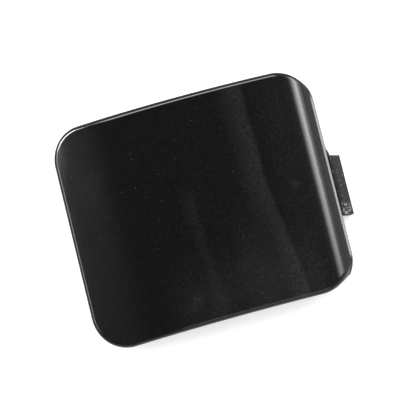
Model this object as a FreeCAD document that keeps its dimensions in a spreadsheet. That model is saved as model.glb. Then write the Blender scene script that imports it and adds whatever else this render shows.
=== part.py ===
import FreeCAD, Part
import math
import os
import Sketcher

# Bumper tow hook cover: one injection-moulded cap that closes the towing eye's opening in a bumper.
# +Z leaves the crowned front face, +X points to the tongue and +Y runs along the rolled edge.
# The return wall's lower edge is the seat, at Z = 0.

SIZES = {
    # front panel in plan: a rounded outline that narrows a little towards the rolled edge
    "panel_length": 88.9,
    "left_height": 76.2,
    "right_height": 74.7,
    "upper_left_radius": 11.0,
    "lower_left_radius": 12.8,
    "upper_right_radius": 11.0,
    "lower_right_radius": 11.6,
    # front panel in section: a crown, a roll and a straight flank that ends at an upright land
    "apex_height": 22.2,
    "crown_radius": 150.0,
    "roll_radius": 8.0,
    "roll_end_slope": 78.0,
    "flank_length": 0.4,
    "rim_land": 1.6,
    "skin_thickness": 2.6,
    "front_edge_radius": 1.6,
    # return wall under the panel
    "rim_overhang": 7.0,
    "wall_thickness": 2.0,
    "wall_draft": 0.5,
    # stiffening ribs between the sides of the return wall
    "rib_thickness": 1.6,
    "rib_draft": 0.5,
    "rib_setback": 6.0,
    "cross_rib_spacing": 26.0,
    # snap arms, freed from the return wall by slots, and their barbs
    "arm_width": 10.0,
    "arm_slot": 2.4,
    "arm_root": 4.0,
    "left_arm_spacing": 32.0,
    "bumper_skin": 3.0,
    "barb_reach": 1.6,
    "barb_shoulder": 0.9,
    "barb_height": 6.5,
    "barb_width": 9.0,
    # cranked tongue: a web below the rim, then a lip that follows the next stretch of bumper
    "tongue_width": 20.2,
    "tongue_offset": -2.6,
    "tongue_thickness": 2.2,
    "tongue_gap": 1.8,
    "web_reach": 0.12,
    "web_flare": 5.4,
    "lip_slope": 66.0,
    "lip_length": 6.65,
    "lip_edge_radius": 0.5,
    # gussets between the return wall and the tongue's web
    "gusset_thickness": 1.6,
    "gusset_spacing": 7.5,
    "gusset_reach": 4.5,
    "gusset_foot": 0.6,
    # how far cutting shapes run past what they cut, and added shapes run into what carries them
    "overrun": 1.0,
    "embed": 0.5,
}

# Derived places, as expressions. The crown's and the roll's centres lie in the XZ plane.
SLOPE = "sizes.roll_end_slope"
CROWN_Z = "(sizes.apex_height - sizes.crown_radius)"
ROLL_X = (
    "(sizes.panel_length / 2"
    f" - sizes.roll_radius * sin({SLOPE}) - sizes.flank_length * cos({SLOPE}))"
)
ROLL_Z = f"({CROWN_Z} + sqrt((sizes.crown_radius - sizes.roll_radius)^2 - {ROLL_X}^2))"
LAND_TOP = f"({ROLL_Z} + sizes.roll_radius * cos({SLOPE}) - sizes.flank_length * sin({SLOPE}))"
RIM_Z = f"({LAND_TOP} - sizes.rim_land)"
WALL_X = "(sizes.panel_length / 2 - sizes.rim_overhang)"
WALL_MIDDLE_X = f"({WALL_X} - sizes.wall_thickness / 2)"
WEB_TOP = f"({RIM_Z} - sizes.tongue_gap)"
WEB_END = "(sizes.panel_length / 2 + sizes.web_reach)"
LIP_OUT = "(sizes.lip_length * cos(sizes.lip_slope))"
LIP_DOWN = "(sizes.lip_length * sin(sizes.lip_slope))"
TONGUE_TOP_Y = "(sizes.tongue_offset + sizes.tongue_width / 2)"
TONGUE_LOW_Y = "(sizes.tongue_offset - sizes.tongue_width / 2)"


def half_height(x):
    """Half the panel's height at a place along X."""
    fall = "(sizes.left_height - sizes.right_height) / 2"
    return f"(sizes.left_height / 2 - {fall} * (({x}) / sizes.panel_length + 0.5))"


def underside(x):
    """Height of the crowned skin's inner face at a place along X."""
    return f"({CROWN_Z} + sqrt((sizes.crown_radius - sizes.skin_thickness)^2 - ({x})^2))"


def build_sheet(doc):
    """The driving dimensions, in millimetres and degrees."""
    sheet = doc.addObject("Spreadsheet::Sheet", "sizes")
    for row, (alias, size) in enumerate(SIZES.items(), start=1):
        sheet.set(f"A{row}", alias)
        sheet.set(f"B{row}", str(size))
        sheet.setAlias(f"B{row}", alias)
    doc.recompute()
    return sheet


def add_sketch(body, name, role, lift="0"):
    """A sketch on one of the body's origin planes, lifted along the plane's normal."""
    sketch = body.newObject("Sketcher::SketchObject", name)
    plane = next(item for item in body.Origin.OriginFeatures if item.Role == role)
    sketch.AttachmentSupport = [(plane, "")]
    sketch.MapMode = "FlatFace"
    sketch.setExpression("AttachmentOffset.Base.z", lift)
    return sketch


def dimension(sketch, name, expression, kind, *places):
    """Add a dimension to a sketch and bind it to the sheet."""
    size = float(sketch.evalExpression(expression))
    if kind == "Angle":
        size = math.radians(size)
    sketch.addConstraint(Sketcher.Constraint(kind, *places, size))
    sketch.renameConstraint(sketch.ConstraintCount - 1, name)
    sketch.setExpression(f"Constraints.{name}", expression)


def fix_point(sketch, name, corner, geometry, point):
    """Bind a point's two coordinates to the sheet."""
    across, up = corner
    dimension(sketch, f"{name}_across", across, "DistanceX", -1, 1, geometry, point)
    dimension(sketch, f"{name}_up", up, "DistanceY", -1, 1, geometry, point)


def end_at(sketch, geometry, place):
    """Which end of a sketched edge lies at a place: 1 for its start, 2 for its end."""
    start, finish = (sketch.getPoint(geometry, end).distanceToPoint(place) for end in (1, 2))
    return 1 if start < finish else 2


def add_loop(sketch, name, corners, radii=None):
    """Add a closed loop of straight edges.

    Each corner is a pair of expressions. Each radius is an expression, or None for a sharp corner.
    """
    count = len(corners)
    radii = radii or [None] * count
    sharp = [FreeCAD.Vector(*(float(sketch.evalExpression(v)) for v in c), 0) for c in corners]
    starts, ends, arcs = [], [], {}
    for i, (corner, radius) in enumerate(zip(sharp, radii)):
        back = (sharp[i - 1] - corner).normalize()
        ahead = (sharp[(i + 1) % count] - corner).normalize()
        if radius is None:
            ends.append(corner)
            starts.append(corner)
            continue
        size = float(sketch.evalExpression(radius))
        half_angle = back.getAngle(ahead) / 2
        setback = size / math.tan(half_angle)
        centre = corner + (back + ahead).normalize() * (size / math.sin(half_angle))
        ends.append(corner + back * setback)
        starts.append(corner + ahead * setback)
        arcs[i] = centre + (corner - centre).normalize() * size
    first = sketch.GeometryCount
    for i in range(count):
        sketch.addGeometry(Part.LineSegment(starts[i], ends[(i + 1) % count]), False)
    for i in range(count):
        before, after = first + (i - 1) % count, first + i
        if i not in arcs:
            sketch.addConstraint(Sketcher.Constraint("Coincident", before, 2, after, 1))
            fix_point(sketch, f"{name}_{i}", corners[i], after, 1)
            continue
        arc = sketch.addGeometry(Part.Arc(ends[i], arcs[i], starts[i]), False)
        mark = sketch.addGeometry(Part.Point(sharp[i]), True)
        for line, point, place in ((before, 2, ends[i]), (after, 1, starts[i])):
            arc_end = end_at(sketch, arc, place)
            sketch.addConstraint(Sketcher.Constraint("Tangent", line, point, arc, arc_end))
            sketch.addConstraint(Sketcher.Constraint("PointOnObject", mark, 1, line))
        fix_point(sketch, f"{name}_{i}", corners[i], mark, 1)
        dimension(sketch, f"{name}_{i}_radius", radii[i], "Radius", arc)


def add_box(sketch, name, left, right, low, high):
    """Add a rectangle between four expressions."""
    add_loop(sketch, name, [(left, low), (right, low), (right, high), (left, high)])


def add_outline(sketch, name, inset):
    """Add the panel's plan outline, moved inwards by an expression."""
    left = f"-(sizes.panel_length / 2 - {inset})"
    right = f"(sizes.panel_length / 2 - {inset})"
    left_half = f"({half_height(left)} - {inset})"
    right_half = f"({half_height(right)} - {inset})"
    corners = [
        (left, f"-{left_half}"),
        (right, f"-{right_half}"),
        (right, right_half),
        (left, left_half),
    ]
    places = ("lower_left", "lower_right", "upper_right", "upper_left")
    radii = [f"(sizes.{place}_radius - {inset})" for place in places]
    add_loop(sketch, name, corners, radii)


def add_skin_curve(sketch, name, depth):
    """Add the section's crown, roll and flank at a depth under the front face.

    Both loose ends are left for the caller. Returns the crown's and the flank's indices, and which
    end of the crown is the loose one.
    """
    def size(expression):
        return float(sketch.evalExpression(expression))

    slope = math.radians(size(SLOPE))
    crown_centre = FreeCAD.Vector(0, size(CROWN_Z), 0)
    roll_centre = FreeCAD.Vector(size(ROLL_X), size(ROLL_Z), 0)
    crown_radius = size(f"sizes.crown_radius - {depth}")
    roll_radius = size(f"sizes.roll_radius - {depth}")
    turn = math.atan2(roll_centre.x, roll_centre.y - crown_centre.y)

    def around(centre, radius, angle):
        return centre + FreeCAD.Vector(math.sin(angle), math.cos(angle), 0) * radius

    left = around(crown_centre, crown_radius, -math.asin(size("sizes.panel_length / 2") / crown_radius))
    join = around(roll_centre, roll_radius, turn)
    roll_end = around(roll_centre, roll_radius, slope)
    flank_end = roll_end + FreeCAD.Vector(math.cos(slope), -math.sin(slope), 0) * size(
        "sizes.flank_length"
    )
    crown = sketch.addGeometry(
        Part.Arc(left, around(crown_centre, crown_radius, 0), join), False
    )
    roll = sketch.addGeometry(
        Part.Arc(join, around(roll_centre, roll_radius, (turn + slope) / 2), roll_end), False
    )
    flank = sketch.addGeometry(Part.LineSegment(roll_end, flank_end), False)
    crown_join, roll_join = end_at(sketch, crown, join), end_at(sketch, roll, join)
    sketch.addConstraint(Sketcher.Constraint("Tangent", crown, crown_join, roll, roll_join))
    sketch.addConstraint(Sketcher.Constraint("Tangent", roll, 3 - roll_join, flank, 1))
    sketch.addConstraint(Sketcher.Constraint("PointOnObject", crown, 3, -2))
    dimension(sketch, f"{name}_crown_centre", CROWN_Z, "DistanceY", -1, 1, crown, 3)
    dimension(sketch, f"{name}_crown_radius", f"sizes.crown_radius - {depth}", "Radius", crown)
    dimension(sketch, f"{name}_roll_centre", ROLL_X, "DistanceX", -1, 1, roll, 3)
    dimension(sketch, f"{name}_roll_radius", f"sizes.roll_radius - {depth}", "Radius", roll)
    dimension(sketch, f"{name}_flank_slope", f"-{SLOPE}", "Angle", flank)
    return crown, flank, 3 - crown_join


def join_ends(sketch, name, start, corners, finish):
    """Join two loose ends by straight edges through corners.

    Each loose end is its edge's index, which end it is and how the straight edge leaves it, and
    takes its own place from that direction.
    """
    places = [sketch.getPoint(*start[:2])]
    places += [FreeCAD.Vector(*(float(sketch.evalExpression(v)) for v in c), 0) for c in corners]
    places.append(sketch.getPoint(*finish[:2]))
    first = sketch.GeometryCount
    for i in range(len(places) - 1):
        sketch.addGeometry(Part.LineSegment(places[i], places[i + 1]), False)
    last = sketch.GeometryCount - 1
    sketch.addConstraint(Sketcher.Constraint("Coincident", first, 1, *start[:2]))
    sketch.addConstraint(Sketcher.Constraint("Coincident", last, 2, *finish[:2]))
    sketch.addConstraint(Sketcher.Constraint(start[2], first))
    sketch.addConstraint(Sketcher.Constraint(finish[2], last))
    for i, corner in enumerate(corners):
        sketch.addConstraint(Sketcher.Constraint("Coincident", first + i, 2, first + i + 1, 1))
        fix_point(sketch, f"{name}_{i}", corner, first + i, 2)


def add_prism(body, kind, name, sketch, length=None, symmetric=False, upwards=False):
    """A Pad or a Pocket of a sketch. With no length it runs through everything, both ways."""
    feature = body.newObject(kind, name)
    feature.Profile = sketch
    feature.Reversed = upwards
    feature.SideType = "Symmetric" if symmetric or length is None else "One side"
    if length is None:
        feature.Type = "ThroughAll"
    else:
        feature.setExpression("Length", length)
    sketch.Visibility = False
    body.Document.recompute()
    return feature


def add_mirror(body, name, feature, role):
    """A mirrored copy of a feature, across one of the body's origin planes."""
    plane = next(item for item in body.Origin.OriginFeatures if item.Role == role)
    mirror = body.newObject("PartDesign::Mirrored", name)
    mirror.Originals = [feature]
    mirror.MirrorPlane = (plane, [""])
    body.Tip = mirror
    body.Document.recompute()
    return mirror


def add_return_wall(body):
    """The upright wall that stands back from the rim all the way round, over-long at its top."""
    sketch = add_sketch(body, "wall_plan", "XY_Plane")
    add_outline(sketch, "outside", "sizes.rim_overhang")
    add_outline(sketch, "inside", "(sizes.rim_overhang + sizes.wall_thickness)")
    wall = add_prism(body, "PartDesign::Pad", "return_wall", sketch, "sizes.apex_height")
    wall.setExpression("TaperAngle", "sizes.wall_draft")
    body.Document.recompute()


def add_ribs(body):
    """One rib along X and a pair along Y, set back from the seat."""
    half = "(sizes.rib_thickness / 2)"
    lift = "sizes.rib_setback"
    length = "(sizes.apex_height - sizes.rib_setback)"
    sketch = add_sketch(body, "long_rib_plan", "XY_Plane", lift)
    add_box(sketch, "rib", f"-{WALL_MIDDLE_X}", WALL_MIDDLE_X, f"-{half}", half)
    long_rib = add_prism(body, "PartDesign::Pad", "long_rib", sketch, length)
    long_rib.setExpression("TaperAngle", "sizes.rib_draft")
    middle = "(sizes.cross_rib_spacing / 2)"
    reach = f"({half_height(middle)} - sizes.rim_overhang - sizes.wall_thickness / 2)"
    sketch = add_sketch(body, "cross_rib_plan", "XY_Plane", lift)
    add_box(sketch, "rib", f"({middle} - {half})", f"({middle} + {half})", f"-{reach}", reach)
    cross_rib = add_prism(body, "PartDesign::Pad", "cross_rib", sketch, length)
    cross_rib.setExpression("TaperAngle", "sizes.rib_draft")
    add_mirror(body, "cross_rib_pair", cross_rib, "YZ_Plane")


def trim_to_crown(body):
    """Cut the wall's and ribs' tops to the surface half way through the skin."""
    sketch = add_sketch(body, "crown_section", "XZ_Plane")
    crown, flank, loose = add_skin_curve(sketch, "middle", "sizes.skin_thickness / 2")
    side = "(sizes.panel_length / 2 + sizes.overrun)"
    top = "(sizes.apex_height + sizes.overrun)"
    join_ends(
        sketch,
        "top",
        (crown, loose, "Vertical"),
        [(f"-{side}", top), (side, top)],
        (flank, 2, "Vertical"),
    )
    add_prism(body, "PartDesign::Pocket", "crown_trim", sketch)


def add_skin(body):
    """The crowned and rolled panel, of one thickness, cut to its plan outline."""
    sketch = add_sketch(body, "skin_section", "XZ_Plane")
    front = add_skin_curve(sketch, "front", "0")
    back = add_skin_curve(sketch, "back", "sizes.skin_thickness")
    side = "(sizes.panel_length / 2 + sizes.overrun)"
    join_ends(
        sketch,
        "rim",
        (front[1], 2, "Horizontal"),
        [(side, LAND_TOP), (side, RIM_Z)],
        (back[1], 2, "Horizontal"),
    )
    left = sketch.addGeometry(
        Part.LineSegment(sketch.getPoint(front[0], front[2]), sketch.getPoint(back[0], back[2])),
        False,
    )
    sketch.addConstraint(Sketcher.Constraint("Coincident", left, 1, front[0], front[2]))
    sketch.addConstraint(Sketcher.Constraint("Coincident", left, 2, back[0], back[2]))
    sketch.addConstraint(Sketcher.Constraint("Vertical", left))
    dimension(sketch, "left_end", f"-{side}", "DistanceX", -1, 1, left, 1)
    length = "(max(sizes.left_height; sizes.right_height) + 2 * sizes.overrun)"
    add_prism(body, "PartDesign::Pad", "skin", sketch, length, symmetric=True)

    sketch = add_sketch(body, "panel_plan", "XY_Plane")
    add_outline(sketch, "outline", "0")
    far_up = "(max(sizes.left_height; sizes.right_height) / 2 + 2 * sizes.overrun)"
    far_side = "(sizes.panel_length / 2 + 2 * sizes.overrun)"
    add_box(sketch, "waste", f"-{far_side}", far_side, f"-{far_up}", far_up)
    return add_prism(body, "PartDesign::Pocket", "outline_trim", sketch)


def is_front(face):
    """Is the face part of the crown, the roll or the flank's outer side?"""
    surface = face.Surface
    if isinstance(surface, Part.Cylinder):
        along_y = abs(surface.Axis.y) > 0.999
        outer = min(abs(surface.Radius - SIZES[name]) for name in ("crown_radius", "roll_radius"))
        return along_y and outer < 1e-4
    normal = face.normalAt(0, 0)
    return isinstance(surface, Part.Plane) and normal.x > 0.1 and normal.z > 0.1


def is_upright(face):
    """Does the face run along Z, as the trimmed edge does?"""
    low_u, high_u, low_v, high_v = face.ParameterRange
    normal = face.normalAt((low_u + high_u) / 2, (low_v + high_v) / 2)
    return abs(normal.z) < 1e-6


def round_front_edge(body, trimmed):
    """Round the edge all round the front, where the skin meets its trimmed side."""
    shape = trimmed.Shape
    names = []
    for number, edge in enumerate(shape.Edges, start=1):
        faces = shape.ancestorsOfType(edge, Part.Face)
        if len(faces) == 2 and any(map(is_front, faces)) and any(map(is_upright, faces)):
            names.append(f"Edge{number}")
    fillet = body.newObject("PartDesign::Fillet", "front_edge")
    fillet.Base = (trimmed, names)
    fillet.setExpression("Radius", "sizes.front_edge_radius")
    body.Document.recompute()


def add_left_arms(body):
    """Two snap arms in the return wall opposite the tongue."""
    outside = f"-({WALL_X} + sizes.embed)"
    inside = f"-({WALL_X} - sizes.wall_thickness - sizes.embed)"
    centre = "sizes.left_arm_spacing / 2"
    half = "sizes.arm_width / 2"
    sketch = add_sketch(body, "left_slot_plan", "XY_Plane")
    for name, low in (
        ("low", f"({centre} - {half} - sizes.arm_slot)"),
        ("high", f"({centre} + {half})"),
    ):
        add_box(sketch, name, outside, inside, low, f"({low} + sizes.arm_slot)")
    height = f"({underside(WALL_X)} - sizes.arm_root)"
    slots = add_prism(body, "PartDesign::Pocket", "left_slots", sketch, height, upwards=True)
    add_mirror(body, "left_slots_pair", slots, "XZ_Plane")

    shoulder = f"({underside(WALL_X)} - sizes.bumper_skin)"
    sketch = add_sketch(body, "left_barb_section", "XZ_Plane", f"-{centre}")
    add_loop(sketch, "barb", barb_corners(f"-{WALL_X}", "-", shoulder))
    barb = add_prism(
        body, "PartDesign::Pad", "left_barb", sketch, "sizes.barb_width", symmetric=True
    )
    add_mirror(body, "left_barb_pair", barb, "XZ_Plane")


def barb_corners(wall_face, outwards, shoulder):
    """A barb's section: a sloping shoulder that catches the bumper's edge and a long lead-in."""
    inwards = "+" if outwards == "-" else "-"
    buried = f"({wall_face} {inwards} sizes.embed)"
    nose = f"({wall_face} {outwards} sizes.barb_reach)"
    foot = f"({shoulder} - sizes.barb_height)"
    return [
        (buried, shoulder),
        (buried, foot),
        (wall_face, foot),
        (nose, f"({shoulder} - 2 * sizes.barb_shoulder)"),
        (nose, f"({shoulder} - sizes.barb_shoulder)"),
        (wall_face, shoulder),
    ]


def add_end_arms(body):
    """One snap arm in the middle of the return wall's upper side, and one in its lower side."""
    wall_face = f"({half_height('0')} - sizes.rim_overhang)"
    outside = f"({wall_face} + sizes.embed)"
    inside = f"({wall_face} - sizes.wall_thickness - sizes.embed)"
    near, far = "(sizes.arm_width / 2)", "(sizes.arm_width / 2 + sizes.arm_slot)"
    sketch = add_sketch(body, "end_slot_plan", "XY_Plane")
    add_box(sketch, "left", f"-{far}", f"-{near}", inside, outside)
    add_box(sketch, "right", near, far, inside, outside)
    height = f"({underside('0')} - sizes.arm_root)"
    slots = add_prism(body, "PartDesign::Pocket", "end_slots", sketch, height, upwards=True)
    add_mirror(body, "end_slots_pair", slots, "XZ_Plane")

    shoulder = f"({underside('0')} - sizes.bumper_skin)"
    sketch = add_sketch(body, "end_barb_section", "YZ_Plane")
    add_loop(sketch, "barb", barb_corners(wall_face, "+", shoulder))
    barb = add_prism(
        body, "PartDesign::Pad", "end_barb", sketch, "sizes.barb_width", symmetric=True
    )
    add_mirror(body, "end_barb_pair", barb, "XZ_Plane")


def add_tongue(body):
    """The web that leaves the return wall under the rim, and the lip bent down from its end."""
    web_low = f"({WEB_TOP} - sizes.tongue_thickness)"
    tip = (f"({WEB_END} + {LIP_OUT})", f"({WEB_TOP} - {LIP_DOWN})")
    tip_back = (
        f"({tip[0]} - sizes.tongue_thickness * sin(sizes.lip_slope))",
        f"({tip[1]} - sizes.tongue_thickness * cos(sizes.lip_slope))",
    )
    bend_back = f"({WEB_END} - sizes.tongue_thickness * tan(sizes.lip_slope / 2))"
    corners = [
        (WALL_MIDDLE_X, web_low),
        (bend_back, web_low),
        tip_back,
        tip,
        (WEB_END, WEB_TOP),
        (WALL_MIDDLE_X, WEB_TOP),
    ]
    sketch = add_sketch(body, "tongue_section", "XZ_Plane", "-sizes.tongue_offset")
    edge = "sizes.lip_edge_radius"
    add_loop(sketch, "tongue", corners, [None, None, edge, edge, None, None])
    add_prism(body, "PartDesign::Pad", "tongue", sketch, "sizes.tongue_width", symmetric=True)

    # the web is wider than the lip at its upper end, where it flares into a quarter round
    flare_top = f"({TONGUE_TOP_Y} + sizes.web_flare)"
    corners = [
        (WALL_MIDDLE_X, TONGUE_LOW_Y),
        (WEB_END, TONGUE_LOW_Y),
        (WEB_END, flare_top),
        (WALL_MIDDLE_X, flare_top),
    ]
    sketch = add_sketch(body, "web_plan", "XY_Plane", web_low)
    add_loop(sketch, "web", corners, [None, None, "sizes.web_flare", None])
    add_prism(body, "PartDesign::Pad", "web", sketch, "sizes.tongue_thickness")


def add_gussets(body):
    """Three triangular gussets that brace the web against the return wall."""
    web_low = f"({WEB_TOP} - sizes.tongue_thickness)"
    buried_top = f"({web_low} + sizes.embed)"
    toe = f"({WALL_X} + sizes.gusset_reach)"
    corners = [
        (WALL_MIDDLE_X, "sizes.gusset_foot"),
        (WALL_X, "sizes.gusset_foot"),
        (toe, web_low),
        (toe, buried_top),
        (WALL_MIDDLE_X, buried_top),
    ]
    first = "(-sizes.tongue_offset + sizes.gusset_spacing)"
    sketch = add_sketch(body, "gusset_section", "XZ_Plane", first)
    add_loop(sketch, "gusset", corners)
    gusset = add_prism(
        body, "PartDesign::Pad", "gusset", sketch, "sizes.gusset_thickness", symmetric=True
    )
    row = body.newObject("PartDesign::LinearPattern", "gusset_row")
    row.Originals = [gusset]
    axis = next(item for item in body.Origin.OriginFeatures if item.Role == "Y_Axis")
    row.Direction = (axis, [""])
    row.setExpression("Length", "2 * sizes.gusset_spacing")
    row.Occurrences = 3
    body.Tip = row
    body.Document.recompute()


def build_cover(doc):
    """The whole cover, as one body."""
    body = doc.addObject("PartDesign::Body", "tow_hook_cover")
    body.Label = "tow_hook_cover"
    add_return_wall(body)
    add_ribs(body)
    trim_to_crown(body)
    trimmed = add_skin(body)
    round_front_edge(body, trimmed)
    add_left_arms(body)
    add_end_arms(body)
    add_tongue(body)
    add_gussets(body)
    # the origin goes to the middle of the part's length, tongue included
    body.setExpression("Placement.Base.x", f"-(sizes.web_reach + {LIP_OUT}) / 2")
    doc.recompute()
    return body


def check(doc, body):
    """Stop on a failed object, a cut that cuts nothing or a body that isn't one valid solid."""
    for item in doc.Objects:
        if {"Invalid", "Error"} & set(item.State):
            raise RuntimeError(f"{item.Name} failed: {item.State}")
        if item.TypeId == "PartDesign::Pocket":
            removed = item.BaseFeature.Shape.Volume - item.Shape.Volume
            if removed < 1.0:
                raise RuntimeError(f"{item.Name} cuts nothing")
    shape = body.Shape
    if shape.isNull() or not shape.isValid() or len(shape.Solids) != 1:
        raise RuntimeError("the cover isn't one valid solid")


def main():
    """Build the cover, check it and write its STEP file."""
    doc = FreeCAD.newDocument("tow_hook_cover")
    build_sheet(doc)
    body = build_cover(doc)
    check(doc, body)
    os.makedirs("parts", exist_ok=True)
    body.Shape.exportStep(f"parts/{body.Label}.step")
    box = body.Shape.BoundBox
    print(f"{body.Label}: {box.XLength:.2f} x {box.YLength:.2f} x {box.ZLength:.2f} mm")


main()
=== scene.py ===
"""Looks of a bumper tow hook cover: one moulding of black plastic, face up on a white table."""

import logging
import math
from collections.abc import Mapping, Sequence
from dataclasses import dataclass, field
from enum import Enum
from functools import partialmethod
from typing import Any

import bmesh
import bpy
from mathutils import Matrix, Vector


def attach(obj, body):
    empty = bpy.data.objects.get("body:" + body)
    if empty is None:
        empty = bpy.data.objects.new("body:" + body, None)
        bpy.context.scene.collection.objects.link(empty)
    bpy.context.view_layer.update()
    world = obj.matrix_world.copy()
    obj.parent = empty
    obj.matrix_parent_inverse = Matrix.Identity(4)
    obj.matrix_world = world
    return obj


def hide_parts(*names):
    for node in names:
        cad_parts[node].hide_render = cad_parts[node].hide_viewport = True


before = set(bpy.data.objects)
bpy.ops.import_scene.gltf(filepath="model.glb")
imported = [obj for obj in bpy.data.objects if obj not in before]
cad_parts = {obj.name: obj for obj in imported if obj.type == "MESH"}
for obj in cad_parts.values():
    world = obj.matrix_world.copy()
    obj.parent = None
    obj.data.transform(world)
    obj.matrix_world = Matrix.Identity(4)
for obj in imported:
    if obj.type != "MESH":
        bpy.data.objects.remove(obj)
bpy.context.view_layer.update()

LOG = logging.getLogger("cover")
MM = 0.001
CAD_NODE = "tow_hook_cover"
BODY = "root"
NODE_MERGE = 0.001 * MM
MESH_MERGE = 0.0005 * MM
SWAP_YZ = Matrix(((1, 0, 0, 0), (0, 0, 1, 0), (0, 1, 0, 0), (0, 0, 0, 1)))

Point = tuple[float, float]
Colour = tuple[float, float, float]


def mm(*lengths: float) -> tuple[float, ...]:
    """Lengths in millimetres, turned into metres."""
    return tuple(length * MM for length in lengths)


def put(name: str, data: Any) -> bpy.types.Object:
    """A new object in the scene, with a mesh, a lamp or a camera as its data."""
    made = bpy.data.objects.new(name, data)
    bpy.context.scene.collection.objects.link(made)
    return made


def emptied(owner: bpy.types.Material | bpy.types.World) -> bpy.types.NodeTree:
    """The node tree of a material or of the world, with nothing in it."""
    owner.use_nodes = True
    owner.node_tree.nodes.clear()
    return owner.node_tree


class Wire:
    """One value that travels through a node tree, with the arithmetic of its formulas."""

    def __init__(self, tree: "Tree", socket: bpy.types.NodeSocket) -> None:
        """Keep the socket that gives the value, and the tree that it is in."""
        self.tree = tree
        self.socket = socket

    def combine(self, operation: str, other: "Value", swapped: bool = False) -> "Wire":
        """The result of a sum with another value, which comes first if the two are swapped."""
        pair = (other, self) if swapped else (self, other)
        return self.tree.math(operation, *pair)

    __add__ = partialmethod(combine, "ADD")
    __radd__ = partialmethod(combine, "ADD", swapped=True)
    __sub__ = partialmethod(combine, "SUBTRACT")
    __rsub__ = partialmethod(combine, "SUBTRACT", swapped=True)
    __mul__ = partialmethod(combine, "MULTIPLY")
    __truediv__ = partialmethod(combine, "DIVIDE")
    __rtruediv__ = partialmethod(combine, "DIVIDE", swapped=True)


Value = Wire | float | int


class Tree:
    """A node tree under construction: it adds nodes, joins them and lays them out in columns."""

    ROWS = 6
    STEP = (190.0, -170.0)

    def __init__(self, tree: bpy.types.NodeTree) -> None:
        """Wrap a node tree that is to be filled."""
        self.tree = tree
        self.count = 0

    @classmethod
    def group(cls, name: str) -> "Tree":
        """A new geometry node group."""
        return cls(bpy.data.node_groups.new(name, "GeometryNodeTree"))

    def socket(self, label: str, kind: str = "Float", way: str = "INPUT") -> Any:
        """Add an input or an output of a kind to the group itself."""
        face = self.tree.interface
        return face.new_socket(label, in_out=way, socket_type=f"NodeSocket{kind}")

    def node(
        self, kind: str, inputs: Mapping[str | int, Any] | None = None, **options: Any
    ) -> bpy.types.Node:
        """Add a node.

        Args:
            kind: The node's type.
            inputs: What each input gets, by its name or number: a Wire to join or a value to set.
            **options: The node's own options.

        Returns:
            The node.
        """
        made = self.tree.nodes.new(kind)
        column, row = divmod(self.count, self.ROWS)
        made.location = (column * self.STEP[0], row * self.STEP[1])
        self.count += 1
        for option, choice in options.items():
            setattr(made, option, choice)
        for key, value in (inputs or {}).items():
            self.feed(made.inputs[key], value)
        return made

    def feed(self, socket: bpy.types.NodeSocket, value: Any) -> None:
        """Join a Wire to an input, or set the input's own value."""
        if isinstance(value, Wire):
            self.tree.links.new(value.socket, socket)
        else:
            socket.default_value = value

    def out(self, made: bpy.types.Node, key: str | int = 0) -> Wire:
        """An output of a node, as a Wire."""
        return Wire(self, made.outputs[key])

    def get(
        self,
        kind: str,
        inputs: Mapping[str | int, Any] | None = None,
        key: str | int = 0,
        **options: Any,
    ) -> Wire:
        """Add a node and take one of its outputs, by its name or number."""
        return self.out(self.node(kind, inputs, **options), key)

    def math(self, operation: str, *values: Value) -> Wire:
        """A Math node's result."""
        return self.get("ShaderNodeMath", dict(enumerate(values)), operation=operation)

    def vector(self, operation: str, *values: Any, result: str = "Vector") -> Wire:
        """A Vector Math node's result, from its output of a name."""
        inputs = dict(enumerate(values))
        return self.get("ShaderNodeVectorMath", inputs, result, operation=operation)

    def scaled(self, vector: Wire, factor: Value) -> Wire:
        """A vector times a number."""
        inputs = {0: vector, "Scale": factor}
        return self.get("ShaderNodeVectorMath", inputs, "Vector", operation="SCALE")

    def xyz(self, x: Value, y: Value, z: Value) -> Wire:
        """A vector from its three parts."""
        return self.get("ShaderNodeCombineXYZ", {0: x, 1: y, 2: z})

    def parts(self, vector: Wire) -> tuple[Wire, Wire, Wire]:
        """A vector's three parts."""
        made = self.node("ShaderNodeSeparateXYZ", {0: vector})
        return self.out(made, 0), self.out(made, 1), self.out(made, 2)

    def ramp(
        self,
        value: Value,
        start: Value,
        end: Value,
        low: Value = 0.0,
        high: Value = 1.0,
        smooth: bool = False,
    ) -> Wire:
        """A value mapped from start..end to low..high and held at both ends.

        Args:
            value: What is mapped.
            start: The value that gives low.
            end: The value that gives high.
            low: The result at and before start.
            high: The result at and after end.
            smooth: Whether the rise eases in and out.

        Returns:
            The mapped value.
        """
        ends = {"From Min": start, "From Max": end, "To Min": low, "To Max": high}
        easing = "SMOOTHSTEP" if smooth else "LINEAR"
        return self.get("ShaderNodeMapRange", {0: value, **ends}, interpolation_type=easing)

    def choose(self, test: Wire, no: Value, yes: Value, kind: str = "VECTOR") -> Wire:
        """One of two values, by a test."""
        return self.get("GeometryNodeSwitch", {0: test, 1: no, 2: yes}, input_type=kind)

    def above(self, value: Value, limit: Value) -> Wire:
        """Whether a value is greater than a limit."""
        options = {"data_type": "FLOAT", "operation": "GREATER_THAN"}
        return self.get("FunctionNodeCompare", {0: value, 1: limit}, **options)


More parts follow.
